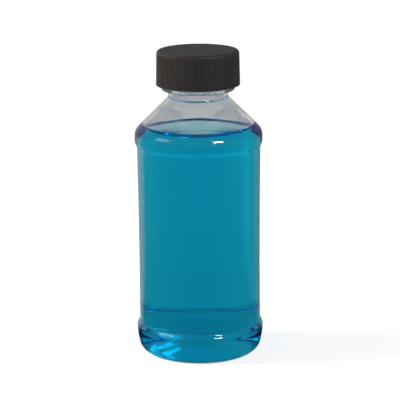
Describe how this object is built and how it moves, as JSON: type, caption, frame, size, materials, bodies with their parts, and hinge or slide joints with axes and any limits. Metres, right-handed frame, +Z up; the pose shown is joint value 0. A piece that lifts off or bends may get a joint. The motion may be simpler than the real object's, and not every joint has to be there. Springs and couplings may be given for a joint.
{
  "type": "plastic bottle",
  "caption": "Round clear plastic bottle with rounded beads above and below a plain side, a conical shoulder, a black ribbed screw cap and a blue liquid inside.",
  "frame": {"origin": "centre of the foot, on the surface that the bottle stands on", "axes": "+Z up along the bottle's axis, towards the cap; the bottle is round, so +X and +Y only place the threads' starts"},
  "size_m": [0.046, 0.046, 0.111],
  "materials": {
    "clear_wall": "clear, glossy",
    "blue_liquid": "clear dyed liquid",
    "liner_foam": "closed-cell foam",
    "cap_black": "moulded, satin"
  },
  "bodies": {
    "bottle_body": {"bottle": "clear_wall", "liquid": "blue_liquid"},
    "liner": {"cap_liner": "liner_foam"},
    "cap": {"screw_cap": "cap_black"}
  },
  "joints": [
    {"name": "cap_lift", "type": "slide", "parent": "bottle_body", "child": "liner", "axis": [0, 0, 1], "range_m": [0, 0.0127]},
    {"name": "cap_turn", "type": "hinge", "parent": "liner", "child": "cap", "pos_m": [0, 0, 0.105], "axis": [0, 0, 1], "range_deg": [0, 1080]}
  ],
  "couplings": [
    {"joint": "cap_lift", "follows": "cap_turn", "m_per_rad": 0.0006737}
  ]
}
